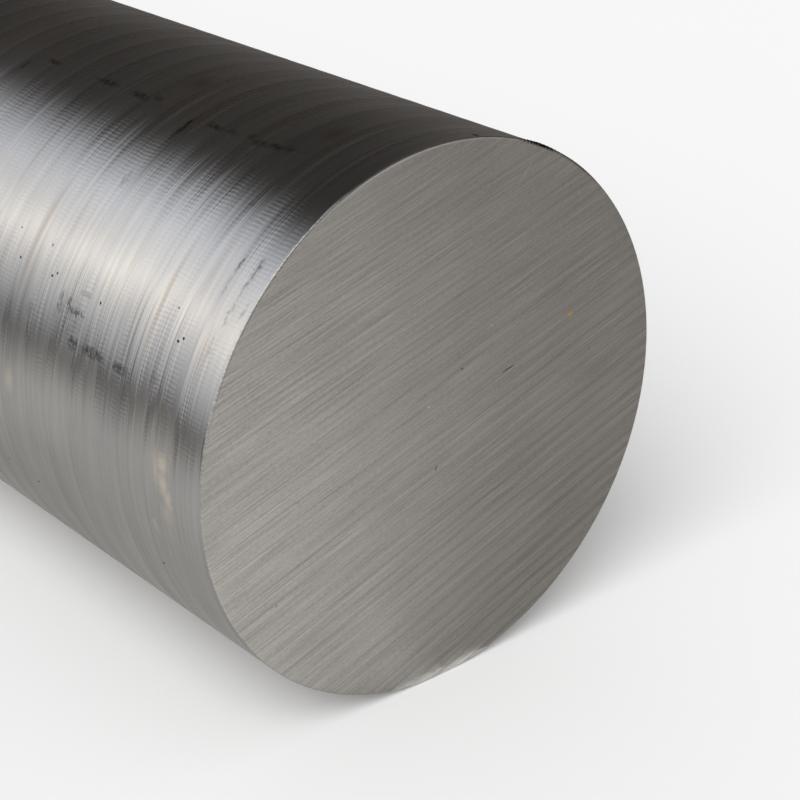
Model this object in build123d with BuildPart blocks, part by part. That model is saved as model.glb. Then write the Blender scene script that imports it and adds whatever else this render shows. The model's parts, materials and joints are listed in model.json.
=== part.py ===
from build123d import *
import os

# A solid round bar of stainless steel: its side is turned along the whole length and both of
# its ends are sawn square. It lies on its side, with its axis along X.
# The origin is on the floor, under the middle of the bar. Lengths are in millimetres.

os.makedirs("parts", exist_ok=True)

# Driving dimensions
bar_diameter = 100.0
bar_length = 500.0  # from one sawn end to the other
edge_break = 0.3  # the sharp corner of each saw cut, taken off with a file at 45 degrees

# Worked out from them
bar_radius = bar_diameter / 2
first_end = Plane.YZ.offset(-bar_length / 2)

# The bar is one piece of stock: its round section, carried from one saw cut to the other.
# The lowest line of its side lies on the floor.
with BuildPart() as round_bar:
    with BuildSketch(first_end):
        with Locations((0, bar_radius)):
            Circle(bar_radius)
    extrude(amount=bar_length)
    chamfer(round_bar.edges().filter_by(GeomType.CIRCLE), edge_break)

round_bar.part.label = "round_bar"
export_step(round_bar.part, "parts/round_bar.step")
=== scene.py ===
"""Dresses the round bar: its turned side, its two sawn ends, and the plain studio that it lies in."""

import json
import math

import bmesh
import bpy
import numpy as np
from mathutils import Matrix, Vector


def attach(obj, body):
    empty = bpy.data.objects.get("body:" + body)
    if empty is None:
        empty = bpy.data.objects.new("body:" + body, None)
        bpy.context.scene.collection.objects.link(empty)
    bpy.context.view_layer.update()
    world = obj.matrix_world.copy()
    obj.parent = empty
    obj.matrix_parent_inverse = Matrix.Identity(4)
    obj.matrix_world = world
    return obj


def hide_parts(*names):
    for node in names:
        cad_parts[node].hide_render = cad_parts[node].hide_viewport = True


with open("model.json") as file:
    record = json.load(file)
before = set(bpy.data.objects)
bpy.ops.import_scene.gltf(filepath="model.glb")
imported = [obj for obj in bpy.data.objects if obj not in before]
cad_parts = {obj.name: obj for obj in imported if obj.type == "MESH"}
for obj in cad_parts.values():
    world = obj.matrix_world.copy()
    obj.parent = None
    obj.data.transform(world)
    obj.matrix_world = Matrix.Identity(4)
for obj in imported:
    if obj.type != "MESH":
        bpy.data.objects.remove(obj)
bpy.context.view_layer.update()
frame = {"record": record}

# ---------------------------------------------------------------- sizes, from the frame, in metres
MM = 0.001
mounts = {mount["name"]: mount for mount in frame["record"]["mounts"]}
RADIUS = mounts["bar_outside"]["dims"]["r_mm"] * MM
HALF_LENGTH = mounts["sawn_end_front"]["pos_m"][0]
STRAIGHT = mounts["bar_outside"]["dims"]["length_mm"] * MM
EDGE_BREAK = HALF_LENGTH - STRAIGHT / 2

# Places on the bar are told by two numbers. Turn is the angle round it in degrees, 0 at the top and
# rising towards -Y. Inset is the distance in millimetres from the front end, back along the side.
FEED = 7.6 * MM  # the tools go this far along the bar in one turn
FEED_WAVE = 0.010 * MM  # the wave that the feed leaves goes this far each way from its middle
FINE_WAVE = 0.005 * MM  # and so does the finer wave that comes on top
FINE_PITCH = 3.1 * MM
FADE = 2 * MM  # the waves die out over this stretch at each end of the side
FIRST_CUT = 8 * MM, 9.5 * MM  # the first tool's cut goes this far from the front end, and is gone by there
CHATTER_MARKS = 400  # the marks that a shaking tool leaves in one turn, 0.785 mm apart
ROLLER_PITCH = 48  # the rollers leave a mark about every so many millimetres along the bar
SAW_TILT = math.radians(17.5)  # the slope of the saw marks on an end, rising to the right
RIDGE_PITCH = 2.66 * MM  # the saw went down this far in one turn of its band
RELIEF = 0.012 * MM  # the ridges go this far each way from the face
SET_BACK = 0.015 * MM  # the face lies this far inside the bar's length, so that its ridges stay inside too
BURR_REACH = 0.4 * MM  # a full burr stands this far out of the bar's side
FOOT_SINK, FOOT_DOWN = 0.06 * MM, 1.0 * MM  # a sawn end's foot lies this far under the side, and down it
POLE_GAP = 5e-8  # points of a mesh nearer to each other than this are one point


# ---------------------------------------------------------------- meshes
def corners(grid):
    """The four corners of each cell of a grid, cell by cell, in the order that makes a face."""
    return np.stack([grid[:-1, :-1], grid[:-1, 1:], grid[1:, 1:], grid[1:, :-1]], 2)


def surface(name, points, material, wrap=False, maps=None, values=None):
    """A mesh through a grid of points, rows by columns. With wrap, the last column joins the first.

    maps has a flat map's places for the corners of the grid's cells. values has numbers for its points.
    """
    index = np.arange(points.shape[0] * points.shape[1]).reshape(points.shape[:2])
    if wrap:
        index = np.hstack([index, index[:, :1]])
    mesh = bpy.data.meshes.new(name)
    mesh.from_pydata(points.reshape(-1, 3), [], corners(index).reshape(-1, 4))
    for map_name, places in (maps or {}).items():
        mesh.uv_layers.new(name=map_name).uv.foreach_set("vector", places.astype(np.float32).ravel())
    for value_name, numbers in (values or {}).items():
        layer = mesh.attributes.new(value_name, "FLOAT", "POINT")
        layer.data.foreach_set("value", numbers.astype(np.float32).ravel())
    mesh.shade_smooth()
    mesh.materials.append(material)
    piece = bpy.data.objects.new(name, mesh)
    bpy.context.scene.collection.objects.link(piece)
    return piece


def weld(piece):
    """Joins the points of a mesh that lie in one place, as they do at a pole."""
    welded = bmesh.new()
    welded.from_mesh(piece.data)
    bmesh.ops.remove_doubles(welded, verts=welded.verts, dist=POLE_GAP)
    welded.to_mesh(piece.data)
    welded.free()


def waves(distance, pitch, seed, count=4, spread=0.22):
    """An uneven wave between -1 and 1: the mean of sines whose pitches are spread about the given one."""
    draw = np.random.default_rng(seed)
    pitches = pitch * draw.uniform(1 - spread, 1 + spread, count)
    starts = draw.uniform(0, 2 * math.pi, count)
    return sum(np.sin(2 * math.pi * distance / p + s) for p, s in zip(pitches, starts)) / count


def hump(value, middle, reach):
    """A smooth hump: 1 in the middle and 0 from that reach outwards, as a raised cosine."""
    return 0.5 + 0.5 * np.cos(math.pi * np.clip((value - middle) / reach, -1, 1))


def turned_side(material):
    """A tube round X, at the bar's radius less shallow waves that the tools leave.

    The depth is a sum of two waves along the bar, a cosine as long as the feed and an uneven one of smaller
    pitch. Both wind on by one feed each turn, and die out at the ends of the tube.
    """
    rows, columns = 780, 128
    along = np.linspace(-STRAIGHT / 2, STRAIGHT / 2, rows + 1)[:, None]
    turn = np.linspace(-math.pi, math.pi, columns + 1)[None, :]
    wound = along + FEED * turn / (2 * math.pi)
    depth = FEED_WAVE * (1 + np.cos(2 * math.pi * wound / FEED))
    depth = depth + FINE_WAVE * (1 + waves(wound, FINE_PITCH, seed=4))
    depth = depth * np.clip((STRAIGHT / 2 - abs(along)) / FADE, 0, 1)
    radius = RADIUS - depth
    points = np.stack([along + 0 * turn, -radius * np.sin(turn), RADIUS + radius * np.cos(turn)], -1)

    # The map of the marks is the side rolled out flat, in metres. The map of the finish has the two halves
    # of the bar side by side, with a margin to each, so that it shows twice as much along the bar.
    flat = np.stack([along + 0 * turn, 0 * along + RADIUS * turn], -1)
    margin = 0.003
    front_half = (np.arange(rows) >= rows // 2)[:, None, None]
    strip_along = corners(along + 0 * turn) / (STRAIGHT / 2) + 1 - front_half
    turned_share = corners(0 * along + turn) / (2 * math.pi) + 0.5
    strip_round = margin + (0.5 - 2 * margin) * turned_share + 0.5 * front_half
    maps = {"rolled_out": corners(flat), "OFBake": np.stack([strip_along, strip_round], -1)}
    return surface("turned_side", points[:, :-1], material, wrap=True, maps=maps)


def saw_height(with_saw, across, seed):
    """Height of the sawn face, from -1 to 1: ridges that run with the saw, with sharp valleys between them.

    The distance across is stretched and wavered a little first, so that the ridges fan out. Three nearly
    even waves are added, of the ridges' pitch, its half and about its quarter, and the first two are
    squared upside down, which makes their valleys sharp. The first is strongest towards the right, the
    second in the middle, and the last towards the upper left.
    """
    w, a = with_saw / RADIUS, across / RADIUS
    bent = across * (1 + 0.07 * w) + 0.08 * MM * waves(with_saw, 31 * MM, seed)
    coarse = 1 - 2 * (0.5 - 0.5 * waves(bent, RIDGE_PITCH, seed + 1, 2, 0.02)) ** 2
    half = 1 - 2 * (0.5 - 0.5 * waves(bent, RIDGE_PITCH / 2, seed + 2, 3, 0.05)) ** 2
    fine = waves(bent, RIDGE_PITCH / 3.8, seed + 4, 4, 0.15)
    coarse_share = 0.75 * np.clip(0.75 + 0.3 * w, 0.4, 1)
    half_share = 0.45 * np.clip(1.0 - 0.8 * abs(w + 0.25) - 0.3 * abs(a - 0.1), 0.15, 1)
    fine_share = 0.3 * np.clip(0.6 - 0.5 * w + 0.5 * a, 0.1, 1)
    return coarse_share * coarse + half_share * half + fine_share * fine


def edge(turn, seed):
    """The broken edge at each turn, in radians: its width in metres, and how much of a burr hangs on it.

    The width wavers with two uneven waves, the nicks. The burr is the larger of two humps past the top on
    the +Y side: one that the nicks make ragged, and a thin one further down.
    """
    nicks = waves(turn * RADIUS, 0.9 * MM, seed) + 0.6 * waves(turn * RADIUS, 0.37 * MM, seed + 1)
    ragged = 0.6 * hump(np.degrees(turn), -25, 9.5) * np.clip(0.6 + 0.6 * nicks, 0.1, 1)
    thin = 0.2 * hump(np.degrees(turn), -36, 16)
    return EDGE_BREAK * (0.72 + 0.2 * nicks), np.maximum(ragged, thin)


def sawn_end(name, end, material, seed):
    """The sawn face with its broken edge, end +1 at the front or -1 at the back.

    The face is flat, but for its relief. Each row is a straight line with the saw, across a circle that
    lies just inside the rim. From each of its ends the row goes on outwards from the axis, to the rim and
    over the broken edge: a mid point on its round, its outer corner, and a foot that lies under the side.
    Rows and points lie closer near the rim, as the sines of even steps.
    """
    rows, columns = 1000, 90
    slope = np.linspace(-math.pi / 2, math.pi / 2, rows + 1)[:, None]
    reach = 0.5 + 0.5 * np.sin(np.linspace(-math.pi / 2, math.pi / 2, columns + 1))[None, :]

    def over_the_edge(bearing):
        """Circle, rim, mid, corner and foot at each bearing, the angle in the face from +Y towards +Z.

        Gives their places right of and above the axis, and how far down the side each lies.
        """
        width, burr = edge((bearing + math.pi / 2) % (2 * math.pi) - math.pi, seed + 6)
        out = BURR_REACH * burr
        mid, corner, foot = RADIUS - 0.3 * width + 0.6 * out, RADIUS + out, RADIUS - FOOT_SINK + 0 * width
        radius = np.hstack([RADIUS - 2 * EDGE_BREAK + 0 * width, RADIUS - width, mid, corner, foot])
        down = np.hstack([0 * width, 0 * width, 0.3 * width, width, FOOT_DOWN + 0 * width])
        return radius * np.cos(bearing), radius * np.sin(bearing), down

    def across_the_face(left, right):
        """The rows, from the points over the edge at their left ends and those at their right ends."""
        inner = left[:, :1] + (right[:, :1] - left[:, :1]) * reach
        return np.hstack([left[:, :0:-1], inner, right[:, 1:]])

    lefts, rights = over_the_edge(math.pi - slope + SAW_TILT), over_the_edge(slope + SAW_TILT)
    y, z, down = [across_the_face(left, right) for left, right in zip(lefts, rights)]
    with_saw = y * math.cos(SAW_TILT) + z * math.sin(SAW_TILT)
    across = z * math.cos(SAW_TILT) - y * math.sin(SAW_TILT)
    height = saw_height(with_saw, across, seed)
    x = HALF_LENGTH - SET_BACK - down + RELIEF * height * (down == 0)
    points = np.stack([end * x, end * y, RADIUS + z], -1)

    # The burr's dark root reaches a little into the face, and the broken edge is dark further down that
    # side. On the other side of the top, towards the key softbox, the rim has a painted highlight.
    turn = np.arctan2(-y, z)
    by_rim = np.clip(1.6 - (RADIUS - np.hypot(y, z)) / EDGE_BREAK, 0, 1)
    burr = edge(turn, seed + 6)[1] * by_rim
    burr = np.maximum(burr, 0.16 * hump(np.degrees(turn), -52, 42) * (down > 0))
    # A painted highlight along the rim, on the side of the top that faces the key softbox.
    painted_rim_highlight = 0.75 * hump(np.degrees(turn), 15, 30) * by_rim
    finish = np.stack([with_saw, across], -1) / (2.04 * RADIUS) + 0.5
    piece = surface(name, points, material, maps={"OFBake": corners(finish)},
                    values={"ridge": height, "burr": burr, "painted_rim_highlight": painted_rim_highlight})
    weld(piece)
    return piece


# ---------------------------------------------------------------- nodes
def colour(hex_code):
    """An sRGB hex code as linear red, green, blue and alpha."""
    parts = [int(hex_code[i:i + 2], 16) / 255 for i in (1, 3, 5)]
    return [p / 12.92 if p <= 0.04045 else ((p + 0.055) / 1.055) ** 2.4 for p in parts] + [1.0]


def add(tree, kind, sockets=(), **settings):
    """Adds a node. Settings are its properties, and sockets maps its inputs to values or to outputs."""
    node = tree.nodes.new(kind)
    for name, value in settings.items():
        setattr(node, name, value)
    for key, value in dict(sockets).items():
        if isinstance(value, bpy.types.NodeSocket):
            tree.links.new(value, node.inputs[key])
        else:
            node.inputs[key].default_value = value
    return node


def new_material(name):
    """A material, its node tree and its shader."""
    material = bpy.data.materials.new(name)
    material.use_nodes = True
    return material, material.node_tree, material.node_tree.nodes["Principled BSDF"]


def grain(tree, place, size, seed, detail):
    """Noise from 0 to 1 whose light and dark patches have that size along X, Y and Z, in millimetres."""
    scale = [1 / (length * MM) for length in size]
    shrunk = add(tree, "ShaderNodeMapping", {"Vector": place, "Scale": scale})
    inputs = {"Vector": shrunk.outputs[0], "W": seed, "Scale": 1.0, "Detail": detail}
    return add(tree, "ShaderNodeTexNoise", inputs, noise_dimensions="4D").outputs["Fac"]


def weighed(tree, parts):
    """The sum of the parts, each taken about its middle and times its weight, about 0.5."""
    total = 0.5
    for part, weight in parts:
        centred = add(tree, "ShaderNodeMath", {0: part, 1: 0.5}, operation="SUBTRACT").outputs[0]
        summed = add(tree, "ShaderNodeMath", {0: centred, 1: weight, 2: total}, operation="MULTIPLY_ADD")
        total = summed.outputs[0]
    return total


def blend(tree, share, below, above):
    """The colour below, covered by the colour above as far as share says."""
    return add(tree, "ShaderNodeMix", {"Factor": share, 6: below, 7: above}, data_type="RGBA").outputs[2]


def spots(tree, place, marks, core):
    """How much of a mark lies at a place: each is an ellipse, full in its core and soft outside it.

    A mark is its middle's two coordinates, its half width each way, its lean in degrees and its strength.
    """
    most = 0.0
    for middle, half, lean, strength in marks:
        inputs = {"Vector": place, "Location": (*middle, 0), "Rotation": (0, 0, math.radians(lean)),
                  "Scale": (*half, 1)}
        settled = add(tree, "ShaderNodeMapping", inputs, vector_type="TEXTURE").outputs[0]
        distance = add(tree, "ShaderNodeVectorMath", {0: settled}, operation="LENGTH").outputs["Value"]
        share = add(tree, "ShaderNodeMapRange", {0: distance, 1: 1.0, 2: core, 3: 0.0, 4: strength})
        most = add(tree, "ShaderNodeMath", {0: share.outputs[0], 1: most}, operation="MAXIMUM").outputs[0]
    return most


# ---------------------------------------------------------------- marks on the side
def side_mark(inset, turn, along, around, lean=0, strength=1):
    """A mark on the rolled-out side: its inset and turn, and its half widths along and around in millimetres.

    Lean is in degrees, and strength goes from 0 to 1.
    """
    middle = HALF_LENGTH - inset * MM, RADIUS * math.radians(turn)
    return middle, (along * MM, around * MM), lean, strength


PITTED_END = 80 * MM  # up to this far from the front end, each pit has a place of its own
PITS = [side_mark(*pit) for pit in (
    (12.0, 60.9, 0.34, 0.26), (13.0, 61.8, 0.38, 0.28), (16.0, 56.4, 0.28, 0.2, 0, 0.5),
    (35.1, 62.4, 0.30, 0.32), (49.2, 61.2, 0.28, 0.26), (50.4, 62.1, 0.36, 0.26),
    (53.6, 56.7, 0.30, 0.24, 0, 0.6), (61.0, 61.8, 0.30, 0.26), (64.0, 56.4, 0.24, 0.2, 0, 0.5),
    (15.7, 108.8, 0.5, 0.22, -35), (56.4, 110.3, 0.55, 0.22, -35), (66.0, 109, 0.4, 0.20, -35, 0.6),
    (1.2, -8.4, 0.9, 0.7), (45.0, 21.5, 0.5, 1.2, 0, 0.5))]
END_STREAKS = [side_mark(*streak) for streak in (
    (4.1, 43.2, 0.9, 1.7, 3), (4.2, 45.0, 0.8, 2.4, 3, 0.9), (4.4, 47.5, 0.6, 3.0, 3, 0.8),
    (8.1, 44.2, 0.45, 2.8, 2), (8.3, 49, 0.4, 3, 0, 0.5), (1.7, 51.7, 0.5, 2.4, 3, 0.6),
    (4.7, 53, 0.6, 5.0, 3, 0.6), (5.0, 60, 0.7, 2.5, 0, 0.4))]
ROLLER_MARKS = [side_mark(*mark) for mark in (
    (17.0, 18.8, 3.0, 0.6, 2, 0.4), (20.0, 18.9, 1.8, 0.8, 2, 0.8), (23.0, 19.5, 2.4, 1.1, 3),
    (26.8, 20.1, 2.4, 1.0), (30.0, 19.3, 1.3, 0.9, 0, 0.7), (34.4, 20.0, 2.2, 0.8, 0, 0.7),
    (39.0, 20.3, 3.2, 0.9), (57.6, 18.9, 2.0, 0.8, 3, 0.8), (62.5, 19.8, 3.6, 1.1, 2),
    (73.0, 19.6, 5.0, 0.9), (91.0, 19.8, 3.0, 0.8), (45.0, 23.6, 1.0, 3.8), (97.0, 23.5, 0.6, 3.0))]
ROLLER_MARKS += [side_mark(26 + ROLLER_PITCH * k, 19.8 + k % 3, 6 - k % 4, 0.9, 0, 0.9)
                 for k in range(2, 10)]
STAINS = [side_mark(*stain) for stain in (
    (41.0, 66.2, 3.6, 0.8), (43.2, 65.2, 1.0, 1.2), (45.8, 65.8, 0.9, 2.6, 0, 0.8), (25.2, 71.8, 3.1, 1.1),
    (33.6, 71.8, 3.9, 1.2), (39.6, 72.0, 2.1, 1.4), (39.5, 62.2, 2.4, 0.7, 0, 0.4),
    (42.5, 67.5, 6.0, 4.6, 0, 0.3), (16.0, 70.0, 1.6, 1.2, 0, 0.3), (53.8, 70, 1.6, 1.6, 0, 0.3),
    (53.0, 33.2, 1.4, 0.8, 0, 0.4), (15.2, 33.2, 1.2, 0.7, 0, 0.5), (45.8, 39, 1.2, 2.4, 0, 0.35))]
BLOTCHES = [side_mark(*blotch) for blotch in (
    (10.8, 84.5, 1.7, 2.4, 0), (10.5, 88.5, 1.7, 2.8, -15), (9.4, 91, 1.3, 2.8, -12, 0.9),
    (12.6, 86, 0.8, 4.4, -4, 0.6), (10.0, 94.5, 2.2, 2.2, 10, 0.4), (58.4, 86.5, 1.9, 3.4, 4, 0.6),
    (14.2, 98.8, 0.5, 1.8, -8, 0.8), (16.5, 19, 2.6, 0.5, 0, 0.5), (55, 19, 2.2, 0.5, 0, 0.5))]
# Painted highlights: thin bright lines round the bar, where scratches catch the light.
PAINTED_SCRATCH_HIGHLIGHTS = [side_mark(*line) for line in (
    (43.3, 71, 0.10, 3.2, -35, 0.5), (32.5, 58, 0.06, 16, 0, 0.7), (24.6, 64, 0.06, 12, 0, 0.5),
    (6.2, 14, 0.7, 17, 0, 0.55), (12.0, 15, 0.9, 18, 0, 0.6), (27.0, 18, 0.6, 9, 0, 0.35),
    (42.3, 17, 0.7, 12, 0, 0.5), (50.0, 17.5, 0.9, 13, 0, 0.7), (67.0, 18, 0.8, 12, 0, 0.4))]
LIP = [side_mark(0.2, 25.5, 0.5, 6, 0, 0.17)]  # where the rim is turned over, and how far down it faces
SCUFFS = [side_mark(34, 66, 40, 11)]  # where the scratches are clearer
OIL = [side_mark(*streak) for streak in (
    (20.3, 56, 0.9, 17, 0, 0.5), (21.6, 64, 0.5, 11, 0, 0.4), (58.5, 56, 1.2, 15, 0, 0.5),
    (56.6, 60, 0.6, 16, 0, 0.3), (12.4, 48, 0.9, 13, 0, 0.3), (13.8, 60, 0.5, 12, 0, 0.35),
    (50.5, 48, 0.8, 14, 0, 0.3), (6.6, 62, 0.7, 9, 0, 0.3), (17.3, 10, 3.2, 4.2, 0, 0.5),
    (55.3, 10, 3.2, 4.2, 0, 0.5))]


# ---------------------------------------------------------------- materials
def feed_share(tree, along, around):
    """From 0 to 1 over each band that one turn of the tools leaves, as it winds round the bar."""
    one_turn = 2 * math.pi * RADIUS
    start = add(tree, "ShaderNodeMath", {0: around, 1: 1 / one_turn}, operation="MULTIPLY").outputs[0]
    feed = add(tree, "ShaderNodeMath", {0: along, 1: 1 / FEED, 2: start}, operation="MULTIPLY_ADD").outputs[0]
    feed = add(tree, "ShaderNodeMath", {0: feed}, operation="FRACT").outputs[0]
    return add(tree, "ShaderNodeMapRange", {0: feed, 1: 0.0, 2: 0.85, 3: 0.0, 4: 1.0}).outputs[0]


def soiled_with_painted_highlights(tree, steel, place, rolled_out):
    """The steel's colour, covered in turn by oil, smudges, stains, streaks, blotches and bright lines.

    The bright lines are painted highlights along scratches.
    """
    # Warm streaks, as thin oil leaves when it dries.
    oil = grain(tree, place, (1.6, 30, 30), 7, 3)
    oil_share = add(tree, "ShaderNodeMapRange", {0: oil, 1: 0.52, 2: 0.75, 3: 0.0, 4: 0.4}).outputs[0]
    steel = blend(tree, oil_share, steel, colour("#bfb5a5"))

    # Ragged marks: their places are shaken a little first, and specks of clean steel show through.
    inputs = {"Vector": place, "Scale": 1 / (0.9 * MM), "Detail": 3.0}
    shake = add(tree, "ShaderNodeTexNoise", inputs).outputs["Color"]
    centred = add(tree, "ShaderNodeVectorMath", {0: shake, 1: (0.5, 0.5, 0.5)}, operation="SUBTRACT")
    inputs = {0: centred.outputs[0], 1: (1.3 * MM, 1.3 * MM, 0), 2: rolled_out}
    shaken = add(tree, "ShaderNodeVectorMath", inputs, operation="MULTIPLY_ADD").outputs[0]
    speckle = grain(tree, place, (0.35, 0.9, 0.9), 9, 3)
    speckle = add(tree, "ShaderNodeMapRange", {0: speckle, 1: 0.40, 2: 0.54, 3: 0.1, 4: 0.75}).outputs[0]
    ragged = ((ROLLER_MARKS, 0.3, "#403d39"), (STAINS, 0.5, "#4a4a4e"), (END_STREAKS, 0.2, "#5e554e"))
    for marks, core, shade in ragged:
        share = add(tree, "ShaderNodeMath", {0: spots(tree, shaken, marks, core), 1: speckle},
                    operation="MULTIPLY").outputs[0]
        steel = blend(tree, share, steel, colour(shade))
    steel = blend(tree, spots(tree, rolled_out, OIL, 0.0), steel, colour("#93836f"))
    steel = blend(tree, spots(tree, shaken, BLOTCHES, 0.2), steel, colour("#eae2d3"))
    # Painted highlights along scratches, as bright lines.
    return blend(tree, spots(tree, rolled_out, PAINTED_SCRATCH_HIGHLIGHTS, 0.3), steel, colour("#f2f0ec"))


def pitted(tree, rolled_out, along):
    """1 in a pit. Those near the front end have their own places, and others are strewn over the rest."""
    cells = add(tree, "ShaderNodeTexVoronoi", {"Vector": rolled_out, "Scale": 1 / (32 * MM)},
                voronoi_dimensions="2D").outputs["Distance"]
    strewn = add(tree, "ShaderNodeMapRange", {0: cells, 1: 0.011, 2: 0.006}).outputs[0]
    inputs = {0: along, 1: HALF_LENGTH - PITTED_END}
    far = add(tree, "ShaderNodeMath", inputs, operation="LESS_THAN").outputs[0]
    strewn = add(tree, "ShaderNodeMath", {0: strewn, 1: far}, operation="MULTIPLY").outputs[0]
    return add(tree, "ShaderNodeMath", {0: spots(tree, rolled_out, PITS, 0.4), 1: strewn},
               operation="MAXIMUM").outputs[0]


def chatter(tree, place, around):
    """The lean of the chatter marks: an uneven sine of the turn round the bar, which is deeper in patches."""
    phase_per_metre = CHATTER_MARKS / RADIUS
    angle = add(tree, "ShaderNodeMath", {0: around, 1: phase_per_metre}, operation="MULTIPLY").outputs[0]
    uneven = grain(tree, place, (3, 5, 5), 5, 2)
    phase = add(tree, "ShaderNodeMath", {0: uneven, 1: 8.0, 2: angle}, operation="MULTIPLY_ADD").outputs[0]
    ticks = add(tree, "ShaderNodeMath", {0: phase}, operation="SINE").outputs[0]
    shaking = grain(tree, place, (2.4, 16, 16), 12, 2)
    depth = add(tree, "ShaderNodeMapRange", {0: shaking, 1: 0.42, 2: 0.6, 3: 0.003, 4: 0.024}).outputs[0]
    return add(tree, "ShaderNodeMath", {0: ticks, 1: depth}, operation="MULTIPLY").outputs[0]


def grouped(tree, place, scratches):
    """The scratches about 0.5, strong in some groups of them and weak in others."""
    groups = grain(tree, place, (3.4, 60, 60), 8, 1)
    groups = add(tree, "ShaderNodeMapRange", {0: groups, 1: 0.4, 2: 0.6, 3: 0.25, 4: 1.0}).outputs[0]
    centred = add(tree, "ShaderNodeMath", {0: scratches, 1: 0.5}, operation="SUBTRACT").outputs[0]
    return add(tree, "ShaderNodeMath", {0: centred, 1: groups, 2: 0.5}, operation="MULTIPLY_ADD").outputs[0]


def leant(tree, around_lean, along_lean):
    """The side's normal, leant that much round the bar towards a larger turn, and along it forwards."""
    normal = add(tree, "ShaderNodeNewGeometry").outputs["Normal"]
    onwards = add(tree, "ShaderNodeVectorMath", {0: (1, 0, 0), 1: normal}, operation="CROSS_PRODUCT")
    inputs = {0: onwards.outputs[0], "Scale": around_lean}
    lean = add(tree, "ShaderNodeVectorMath", inputs, operation="SCALE").outputs[0]
    forwards = add(tree, "ShaderNodeCombineXYZ", {0: along_lean}).outputs[0]
    lean = add(tree, "ShaderNodeVectorMath", {0: lean, 1: forwards}, operation="ADD").outputs[0]
    leaning = add(tree, "ShaderNodeVectorMath", {0: normal, 1: lean}, operation="ADD").outputs[0]
    return add(tree, "ShaderNodeVectorMath", {0: leaning}, operation="NORMALIZE").outputs[0]


def peeled_steel():
    """Stainless steel, peeled: a ring of tools has turned off the mill skin.

    It gives a soft grey shine that is sharp round the bar and smeared along it, broken up by fine rings.
    Feed bands are the widest rings: each is sharper at its back, and duller and a little lighter at its
    front. Scratches are the finest, and lie in groups. Where tools shook there are chatter marks, which
    show only where the shine falls off. Rollers have left dark smudges, and there are a few pits and
    stains.
    """
    material, tree, shader = new_material("peeled_stainless_steel")
    place = add(tree, "ShaderNodeTexCoord").outputs["Object"]
    rolled_out = add(tree, "ShaderNodeUVMap", uv_map="rolled_out").outputs[0]
    parts = add(tree, "ShaderNodeSeparateXYZ", {0: rolled_out})
    along, around = parts.outputs[0], parts.outputs[1]

    feed = feed_share(tree, along, around)
    bands = grain(tree, place, (4.5, 60, 60), 1, 1)
    rings = grain(tree, place, (1.1, 45, 45), 2, 2)
    scratches = grain(tree, place, (0.28, 26, 26), 3, 2)
    clouds = grain(tree, place, (26, 20, 20), 4, 3)
    tone = weighed(tree, [(bands, 0.4), (rings, 0.6), (scratches, -0.5), (clouds, 0.9), (feed, 0.2)])
    scuffed = spots(tree, rolled_out, SCUFFS, 0.3)
    scuffs = weighed(tree, [(rings, 0.9), (scratches, -1.2)])
    scuffs = add(tree, "ShaderNodeMath", {0: scuffs, 1: 0.5}, operation="SUBTRACT").outputs[0]
    tone = add(tree, "ShaderNodeMath", {0: scuffs, 1: scuffed, 2: tone}, operation="MULTIPLY_ADD").outputs[0]
    steel = blend(tree, tone, colour("#b0b0b0"), colour("#dad9d7"))
    steel = soiled_with_painted_highlights(tree, steel, place, rolled_out)
    pit = pitted(tree, rolled_out, along)
    steel = blend(tree, pit, steel, colour("#2e241f"))
    tree.links.new(steel, shader.inputs["Base Color"])

    # The finish: each ring has its own roughness.
    finish = weighed(tree, [(bands, 1.0), (rings, 0.9), (scratches, 0.5), (feed, -0.6)])
    rough = add(tree, "ShaderNodeMapRange", {0: finish, 1: 0.2, 2: 0.8, 3: 0.31, 4: 0.25}).outputs[0]
    tree.links.new(rough, shader.inputs["Roughness"])
    shader.inputs["Metallic"].default_value = 1.0
    shader.inputs["Anisotropic"].default_value = 1.0
    shader.inputs["Anisotropic Rotation"].default_value = 0.25
    tangent = add(tree, "ShaderNodeTangent", direction_type="RADIAL", axis="X")
    tree.links.new(tangent.outputs[0], shader.inputs["Tangent"])

    # Each ring, scratch and chatter mark leans a little round the bar, and so do the first tool's cut, at
    # the front end, and the rim's lip. Each feed band is a shallow groove round the bar, so it leans
    # forwards at its back and backwards at its front.
    scored = grouped(tree, place, scratches)
    inputs = {0: along, 1: HALF_LENGTH - FIRST_CUT[1], 2: HALF_LENGTH - FIRST_CUT[0], 3: 0.5, 4: 0.0}
    first = add(tree, "ShaderNodeMapRange", inputs).outputs[0]
    around_lean = weighed(tree, [(rings, 0.03), (scored, 0.33), (bands, 0.03), (first, 0.08)])
    # The weighed sum lies about 0.5, which comes off again here.
    for other in (spots(tree, rolled_out, LIP, 0.8), chatter(tree, place, around), -0.5):
        inputs = {0: around_lean, 1: other}
        around_lean = add(tree, "ShaderNodeMath", inputs, operation="ADD").outputs[0]
    along_lean = add(tree, "ShaderNodeMapRange", {0: feed, 1: 0.0, 2: 1.0, 3: 0.05, 4: -0.05}).outputs[0]
    leaning = leant(tree, around_lean, along_lean)
    bump = add(tree, "ShaderNodeBump", {"Height": pit, "Distance": 0.1 * MM, "Normal": leaning}, invert=True)
    tree.links.new(bump.outputs[0], shader.inputs["Normal"])
    return material


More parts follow.
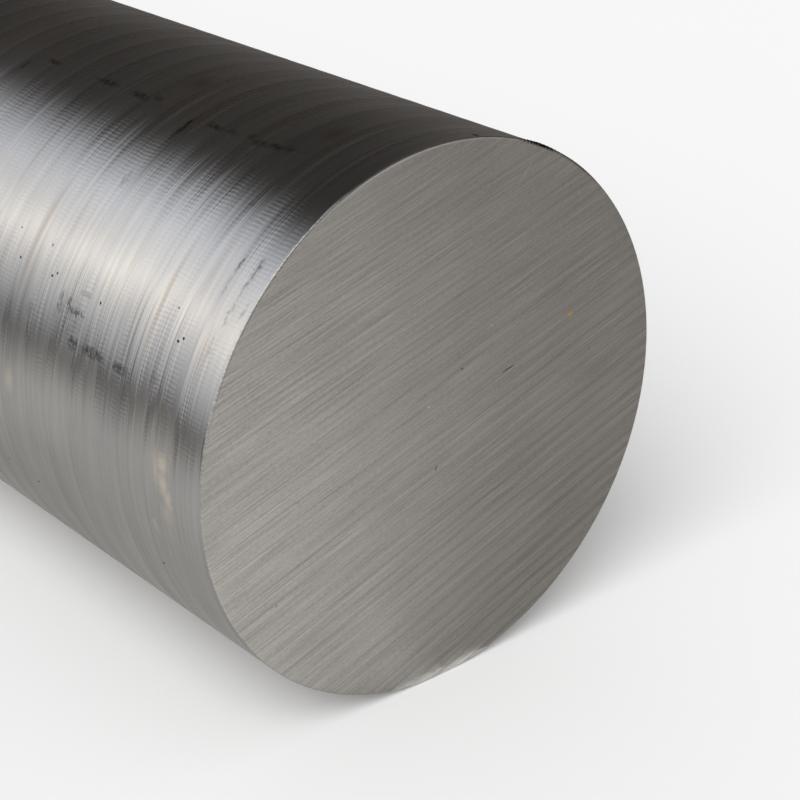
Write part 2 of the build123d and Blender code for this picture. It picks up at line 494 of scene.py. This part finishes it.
def sawn_steel(name, end, marks):
    """Stainless steel, cut by a band saw.

    It gives a flat satin grey, with soft ridges and fine straight lines that all run the saw's way.
    """
    material, tree, shader = new_material(name)
    place = add(tree, "ShaderNodeTexCoord").outputs["Object"]
    inputs = {"Vector": place, "Location": (0, 0, RADIUS), "Rotation": (end * SAW_TILT, 0, 0)}
    face = add(tree, "ShaderNodeMapping", inputs, vector_type="TEXTURE").outputs[0]
    ridge = add(tree, "ShaderNodeAttribute", attribute_name="ridge").outputs["Fac"]
    lines = grain(tree, face, (9, 15, 0.23), 1, 2)
    strokes = grain(tree, face, (9, 40, 0.8), 2, 2)
    clouds = grain(tree, face, (20, 18, 10), 3, 3)
    specks = grain(tree, face, (1, 0.8, 0.26), 4, 3)
    # Glints are painted highlights: light flecks in the colour, which also go into the roughness and bump.
    glints = grain(tree, face, (5, 16, 0.2), 5, 1)
    glints = add(tree, "ShaderNodeMapRange", {0: glints, 1: 0.58, 2: 0.68, 3: 0.4, 4: 1.4}).outputs[0]
    total = weighed(tree, [(lines, 1.4), (strokes, 0.35), (clouds, 0.4), (specks, 1.0), (glints, 0.5)])
    # The ridges' height also goes into the colour, as painted shade and light: darker in the valleys, lighter
    # on the crests.
    total = add(tree, "ShaderNodeMath", {0: ridge, 1: 0.36, 2: total}, operation="MULTIPLY_ADD").outputs[0]
    steel = blend(tree, total, colour("#aba9a5"), colour("#dbd9d4"))
    yz = add(tree, "ShaderNodeSeparateXYZ", {0: place})
    flat = add(tree, "ShaderNodeCombineXYZ", {0: yz.outputs[1], 1: yz.outputs[2]}).outputs[0]
    for shade, spot_list in marks:
        steel = blend(tree, spots(tree, flat, spot_list, 0.5), steel, colour(shade))
    # By the rim the steel has a painted highlight on one side of the top, and is dark where a burr hangs.
    painted_rim_highlight = add(tree, "ShaderNodeAttribute", attribute_name="painted_rim_highlight").outputs["Fac"]
    steel = blend(tree, painted_rim_highlight, steel, colour("#fbf9f5"))
    burr = add(tree, "ShaderNodeAttribute", attribute_name="burr").outputs["Fac"]
    darkened_rim = add(tree, "ShaderNodeMapRange", {0: burr, 1: 0.05, 2: 0.3}).outputs[0]
    steel = blend(tree, darkened_rim, steel, colour("#15110f"))
    tree.links.new(steel, shader.inputs["Base Color"])
    rough = add(tree, "ShaderNodeMapRange", {0: total, 1: 0.2, 2: 0.8, 3: 0.46, 4: 0.38}).outputs[0]
    tree.links.new(rough, shader.inputs["Roughness"])
    shader.inputs["Metallic"].default_value = 1.0
    shader.inputs["Anisotropic"].default_value = 0.5
    shader.inputs["Anisotropic Rotation"].default_value = 0.25
    tangent = add(tree, "ShaderNodeTangent", direction_type="UV_MAP", uv_map="OFBake")
    tree.links.new(tangent.outputs[0], shader.inputs["Tangent"])
    bump = add(tree, "ShaderNodeBump", {"Height": total, "Distance": 0.02 * MM})
    tree.links.new(bump.outputs[0], shader.inputs["Normal"])
    return material


def face_mark(y, z, along, across, lean=17, strength=1):
    """A mark on the front face, from its place right of and above the axis, in millimetres."""
    return (y * MM, RADIUS + z * MM), (along * MM, across * MM), lean, strength


# A yellow fleck, then dark nicks, faint nicks, and light specks with two light scratches.
FACE_MARKS = [
    ("#ffdc84", [face_mark(29.5, 12.6, 0.6, 0.6)]),
    ("#4a4845", [face_mark(14.8, 6.3, 1.9, 0.16, 14), face_mark(-1.6, -7.6, 0.6, 0.15, 65),
                 face_mark(4.1, 9.4, 0.25, 0.2)]),
    ("#b3b0a9", [face_mark(6.9, 26, 0.4, 0.15), face_mark(34.6, 4.5, 0.5, 0.3),
                 face_mark(20.5, 1.6, 0.4, 0.2), face_mark(-31.2, -4, 0.5, 0.25),
                 face_mark(-36.2, -21.5, 0.4, 0.3)]),
    ("#f4f2ec", [face_mark(-3.4, 4.5, 0.5, 0.18), face_mark(10.6, 15.6, 0.3, 0.2),
                 face_mark(17.8, 41.3, 3.4, 0.10, 47, 0.7), face_mark(31, 19.6, 2.2, 0.08, -38, 0.4)]),
]


# ---------------------------------------------------------------- the studio
# A softbox's glow: degrees down from straight above, as seen from the bar's axis, the level and the tint.
KEY = {"side": -1, "along": -0.3, "low": 50, "distance": 0.9, "width": 3.4, "height": 1.62, "glow": (
    (8, 0.04, "#edf2fc"), (12, 0.21, "#edf2fc"), (20, 0.78, "#edf2fc"), (26, 1.0, "#eef2fc"),
    (34, 1.21, "#f1f4fc"), (42, 1.23, "#f8f9fc"), (50, 1.34, "#fffdfb"), (55, 1.52, "#fffcf9"),
    (60, 1.42, "#fffcf9"), (66, 1.05, "#fffdfb"), (74, 0.77, "#f6f8fc"), (80, 0.575, "#eff3fc"),
    (86, 0.44, "#e9effc"), (92, 0.30, "#e9effc"))}
SHADE_AHEAD = (0.83, 0.77, 0.62, 0.46, 0.36, 0.30, 0.25)  # across the mat ahead of an end, light to dark
# The mat and the dome's foot, at each distance from the bar: how high they lie, and their painted tone,
# darker near the bar as a painted shadow of the bar, and dark at the mat's edge.
MAT_START, MAT_START_AHEAD = 0.012, 0.001  # how near the mat comes to the bar's sides, and to its ends
MAT = ((MAT_START, 0.001, 0.34), (0.05, 0.001, 0.38), (0.12, 0.001, 0.54), (0.17, 0.001, 0.58),
       (0.22, 0.001, 0.49), (0.26, 0.001, 0.39), (0.32, 0.001, 0.26), (0.38, 0.001, 0.16),
       (0.45, 0.001, 0.10), (0.451, 0.06, 0.09), (0.8, 0.06, 0.13))
# The dome, at each number of degrees up: its painted tone, dim, which stands in for a dark room.
DOME = ((1, 0.20), (4, 0.20), (9, 0.16), (15, 0.125), (20, 0.092), (26, 0.06), (32, 0.043), (38, 0.041),
        (46, 0.044), (60, 0.044), (75, 0.044), (89.9, 0.044))
DOME_RADIUS, DOME_LIFT = 3.5, 0.05  # the dome's middle lies a little above the floor
PALE = 0.95  # how light the room looks, and the floor far from the bar
WORLD_LEVEL = 0.50  # the room's light on the floor
DAYLIGHT = 2.4  # the soft daylight on the floor, watts per square metre
DAYLIGHT_WAY = (-0.4, 0.62, -0.68)  # where it shines to
DAYLIGHT_SPREAD = math.radians(50)  # how wide it looks in the sky, which softens the shadow
FLOOR_COLOUR = "#f6f6f6"


def softbox(name, side, along, low, distance, width, height, glow):
    """An area light beside the bar, at -Y for side -1 or +Y for side +1, which fades out at both its ends.

    It stands at that distance from the bar's axis, low degrees down from straight above, and faces the
    axis. Only the metal shows it: the floor has its own light.
    """
    strongest = max(level for _, level, _ in glow)
    light = bpy.data.lights.new(name, "AREA")
    light.shape = "RECTANGLE"
    light.size, light.size_y = width, height
    light.energy = strongest * math.pi * width * height
    lamp = bpy.data.objects.new(name, light)
    leaning = math.radians(low)
    lamp.location = (along, side * distance * math.sin(leaning), RADIUS + distance * math.cos(leaning))
    aim = Vector((along, 0, RADIUS)) - lamp.location
    lamp.rotation_euler = aim.to_track_quat("-Z", "Y").to_euler()
    lamp.visible_camera = False
    lamp.visible_diffuse = False
    bpy.context.scene.collection.objects.link(lamp)
    light.use_nodes = True
    tree = light.node_tree
    place = add(tree, "ShaderNodeNewGeometry").outputs["Parametric"]
    parts = add(tree, "ShaderNodeSeparateXYZ", {0: place})
    from_middle = add(tree, "ShaderNodeMath", {0: parts.outputs[0], 1: 0.5}, operation="SUBTRACT").outputs[0]
    from_middle = add(tree, "ShaderNodeMath", {0: from_middle}, operation="ABSOLUTE").outputs[0]
    fade = add(tree, "ShaderNodeMapRange", {0: from_middle, 1: 0.5, 2: 0.3}, interpolation_type="SMOOTHSTEP")
    ramp = add(tree, "ShaderNodeValToRGB", {0: parts.outputs[1]})
    steps = ramp.color_ramp.elements
    steps.remove(steps[1])
    for number, (degrees, level, tint) in enumerate(glow):
        position = 0.5 + math.tan(math.radians(low - degrees)) * distance / height
        step = steps.new(position) if number else steps[0]
        step.position = position
        step.color = [level / strongest * part for part in colour(tint)[:3]] + [1.0]
    tree.links.new(fade.outputs[0], tree.nodes["Emission"].inputs["Strength"])
    tree.links.new(ramp.outputs[0], tree.nodes["Emission"].inputs["Color"])


def glow_by_tone(name):
    """A stand-in for cloth and paper, in painted light and shade: matt black, but each part glows at its own
    tone for the metal to mirror, the darker the warmer.
    """
    material, tree, shader = new_material(name)
    shader.inputs["Base Color"].default_value = (0, 0, 0, 1)
    shader.inputs["Specular IOR Level"].default_value = 0.0
    tone = add(tree, "ShaderNodeAttribute", attribute_name="tone").outputs["Fac"]
    lighter = add(tree, "ShaderNodeMath", {0: tone, 1: 2.0}, operation="MULTIPLY").outputs[0]
    tint = blend(tree, lighter, colour("#fff3ea"), colour("#fffdfa"))
    tree.links.new(tint, shader.inputs["Emission Color"])
    tree.links.new(tone, shader.inputs["Emission Strength"])
    material.cycles.emission_sampling = "NONE"
    return material


def surround():
    """What the metal mirrors besides the softbox: only its shine sees this, and it casts no shadow.

    A profile is carried round the bar, at each distance from its sides and ends: a pale mat on the floor,
    lightest 0.17 m out, darker near the bar as a painted shadow of the bar, and dark at its edge, and a dim
    dome from there up, which stands in for a dark room. All of it glows at its own tone, as painted light
    and shade, and the lamps don't light it. By the bearing from the nearer end, 0 straight ahead of it, the
    mat has a slanting painted shadow there, and the dome has a painted glow low down, most of all ahead of
    the front end. The mat starts where it just clears the round of the bar's sides, and nearer to its ends.
    """
    mat_out, mat_up, mat_tone = np.array(MAT).T
    climb, dome_tone = np.array(DOME).T
    out = np.concatenate([mat_out, DOME_RADIUS * np.cos(np.radians(climb))])[:, None]
    up = np.concatenate([mat_up, DOME_LIFT + DOME_RADIUS * np.sin(np.radians(climb))])[:, None]
    tone = np.concatenate([mat_tone, dome_tone])[:, None]
    turn = (np.arange(144) + 0.5)[None, :] * math.pi / 72
    ahead = np.sign(np.cos(turn))
    bearing = np.degrees(np.arctan2(ahead * np.sin(turn), abs(np.cos(turn))))
    # Ahead of each end the mat gets a painted shadow of the bar: a slanting shade, darker nearer the bar.
    shift = ahead * out * np.sin(turn) - 0.85 * abs(out * np.cos(turn))
    mat_ahead = np.interp(shift, (-0.06, -0.04, -0.024, -0.008, 0.008, 0.024, 0.06), SHADE_AHEAD)
    mat_ahead = mat_ahead * np.interp(out, (0, 0.05, 0.12, 0.23), (0.80, 0.88, 0.96, 1.04))
    mat_ahead = np.where(out < 0.23, mat_ahead, np.minimum(mat_ahead, tone))
    ahead_share = np.clip((90 - abs(bearing)) / 20, 0, 1)
    mat = tone + (mat_ahead - tone) * ahead_share
    # A painted glow on the dome, low down, most of all ahead of the front end.
    lighter = np.where(ahead > 0, 0.8 * hump(bearing, 35, 45), 0.34 * hump(bearing, 15, 45))
    lighter = lighter * hump(up, 0.05, 2.6) * (up > 0.06)
    tone = np.where(up < 0.01, mat, tone + lighter)
    out = out - (MAT_START - MAT_START_AHEAD) * ahead_share * (out == MAT_START)
    points = np.stack([HALF_LENGTH * ahead + out * np.cos(turn), out * np.sin(turn), up + 0 * turn], -1)
    piece = surface("surround", points, glow_by_tone("glowing_surround"), wrap=True, values={"tone": tone})
    piece.visible_camera = False
    piece.visible_diffuse = False
    piece.visible_transmission = False
    piece.visible_volume_scatter = False
    piece.visible_shadow = False


def white_room():
    """An even white world. The camera sees it as pale as the far floor, and so do mirrors and glass."""
    world = bpy.data.worlds.new("white_room")
    bpy.context.scene.world = world
    world.use_nodes = True
    tree = world.node_tree
    background = tree.nodes["Background"]
    background.inputs["Color"].default_value = (1, 1, 1, 1)
    path = add(tree, "ShaderNodeLightPath").outputs
    seen = path["Is Camera Ray"]
    for mirrored in (path["Is Glossy Ray"], path["Is Transmission Ray"]):
        seen = add(tree, "ShaderNodeMath", {0: seen, 1: mirrored}, operation="MAXIMUM").outputs[0]
    strength = add(tree, "ShaderNodeMapRange", {0: seen, 3: WORLD_LEVEL, 4: PALE}).outputs[0]
    tree.links.new(strength, background.inputs["Strength"])


def floor():
    """A flat round floor of matt white paper, from rings of points that lie closer near the middle."""
    paper, _, shader = new_material("white_paper")
    shader.inputs["Base Color"].default_value = colour(FLOOR_COLOUR)
    shader.inputs["Roughness"].default_value = 0.9
    shader.inputs["Specular IOR Level"].default_value = 0.0
    turn = np.linspace(0, 2 * math.pi, 64, endpoint=False)[None, :]
    ring = np.array([30, 16, 8, 4, 2, 1, 0.5, 0.001])[:, None]
    points = np.stack([ring * np.cos(turn), ring * np.sin(turn), 0 * ring * turn], -1)
    surface("floor", points, paper, wrap=True)


def daylight():
    """Soft daylight from above and from the side of the camera. It lights the floor, and isn't mirrored."""
    sun = bpy.data.lights.new("soft_daylight", "SUN")
    sun.energy = DAYLIGHT
    sun.angle = DAYLIGHT_SPREAD
    lamp = bpy.data.objects.new("soft_daylight", sun)
    lamp.rotation_euler = Vector(DAYLIGHT_WAY).to_track_quat("-Z", "Y").to_euler()
    lamp.visible_glossy = False
    bpy.context.scene.collection.objects.link(lamp)


def camera():
    """The camera looks at the front end from above and from the -Y side.

    It stands back from the middle of the front face against its view, and a little aside and above.
    """
    azimuth, elevation = math.radians(49.75), math.radians(25.15)
    aside, above, back = -0.148 * RADIUS, 0.087 * RADIUS, 6.631 * RADIUS
    right = np.array([math.cos(azimuth), math.sin(azimuth), 0])
    level = np.array([-math.sin(azimuth), math.cos(azimuth), 0])
    up_axis = np.array([0, 0, 1])
    forward = level * math.cos(elevation) - up_axis * math.sin(elevation)
    up = level * math.sin(elevation) + up_axis * math.cos(elevation)
    data = bpy.data.cameras.new("camera")
    data.lens, data.sensor_width = 87.88, 36  # millimetres
    data.clip_start = 0.01
    eye = bpy.data.objects.new("camera", data)
    face_centre = np.array([HALF_LENGTH, 0, RADIUS])
    eye.location = face_centre + aside * right + above * up - back * forward
    eye.rotation_euler = (math.pi / 2 - elevation, 0, azimuth)
    bpy.context.scene.collection.objects.link(eye)
    bpy.context.scene.camera = eye


camera()
white_room()
floor()
surround()
softbox("key_softbox", **KEY)
daylight()
side = turned_side(peeled_steel())
front = sawn_end("sawn_end_front", 1, sawn_steel("band_sawn_stainless_steel_front", 1, FACE_MARKS), seed=20)
back = sawn_end("sawn_end_back", -1, sawn_steel("band_sawn_stainless_steel_back", -1, []), seed=50)
for piece in (side, front, back):
    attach(piece, "root")
    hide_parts("round_bar")

bpy.context.scene.view_settings.view_transform = "Standard"
